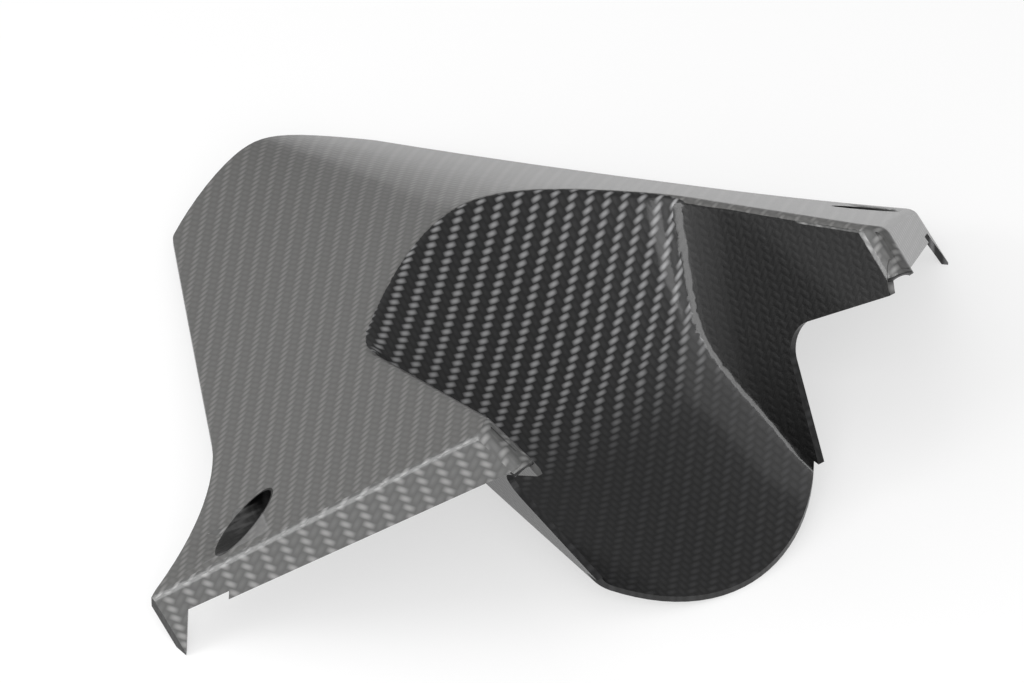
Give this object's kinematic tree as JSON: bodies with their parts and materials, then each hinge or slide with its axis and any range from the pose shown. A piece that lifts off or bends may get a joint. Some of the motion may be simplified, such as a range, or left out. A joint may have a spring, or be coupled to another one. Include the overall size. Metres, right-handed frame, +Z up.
{
  "type": "motorcycle rear fender",
  "caption": "Glossy carbon twill rear fender shell with two flanged arms, a deep chute that runs down into a rounded tongue, and bolt pockets.",
  "frame": {"origin": "on the surface that the shell rests on, under the middle of its box", "axes": "+Z up, +Y to the rear of the motorcycle, +X across, seen to the right from the front"},
  "size_m": [0.287, 0.234, 0.0779],
  "materials": {
    "carbon": "gloss"
  },
  "bodies": {
    "root": {"fender_shell": "carbon"}
  },
  "joints": []
}
